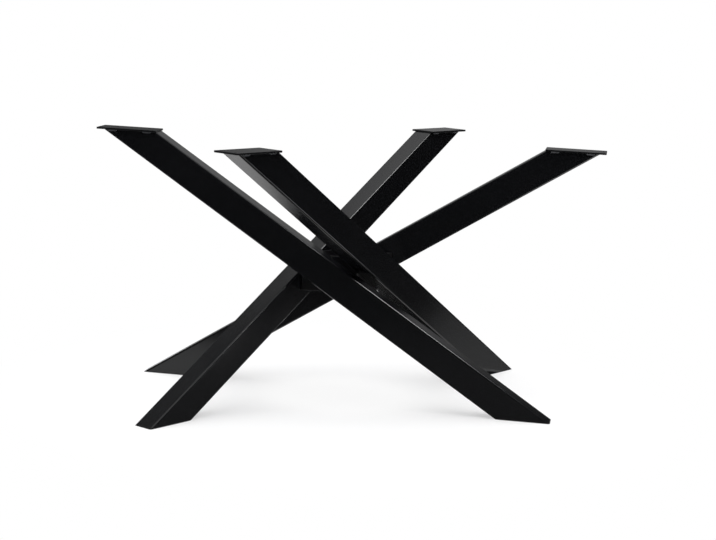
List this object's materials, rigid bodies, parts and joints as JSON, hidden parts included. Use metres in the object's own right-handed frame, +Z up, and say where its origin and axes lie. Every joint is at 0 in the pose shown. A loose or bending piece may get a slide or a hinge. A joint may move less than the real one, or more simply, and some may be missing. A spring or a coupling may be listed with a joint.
{
  "type": "x shaped table leg",
  "caption": "Black steel table base with slanting box-section legs that cross round a diamond core, with a bolt-on plate on top of each leg.",
  "frame": {"origin": "on the floor, under the middle of the base", "axes": "+Z up to the table top, +X along the base's longer side, +Y along its shorter side"},
  "size_m": [1.3258, 0.845, 0.72],
  "materials": {
    "black_coat": "satin powder coat with a fine grain",
    "zinc_steel": "zinc plated",
    "plain_steel": "plain turned steel"
  },
  "bodies": {
    "root": {"core_front": "black_coat", "core_back": "black_coat", "leg_back_left": "black_coat", "top_plate_back_left": "black_coat", "foot_plate_back_left": "black_coat", "top_welds_back_left": "black_coat", "bushes_back_left": "plain_steel", "core_washers_back_left": "zinc_steel", "core_bolts_back_left": "zinc_steel", "leg_front_left": "black_coat", "top_plate_front_left": "black_coat", "foot_plate_front_left": "black_coat", "top_welds_front_left": "black_coat", "bushes_front_left": "plain_steel", "core_washers_front_left": "zinc_steel", "core_bolts_front_left": "zinc_steel", "leg_back_right": "black_coat", "top_plate_back_right": "black_coat", "foot_plate_back_right": "black_coat", "top_welds_back_right": "black_coat", "bushes_back_right": "plain_steel", "core_washers_back_right": "zinc_steel", "core_bolts_back_right": "zinc_steel", "leg_front_right": "black_coat", "top_plate_front_right": "black_coat", "foot_plate_front_right": "black_coat", "top_welds_front_right": "black_coat", "bushes_front_right": "plain_steel", "core_washers_front_right": "zinc_steel", "core_bolts_front_right": "zinc_steel"}
  },
  "joints": []
}
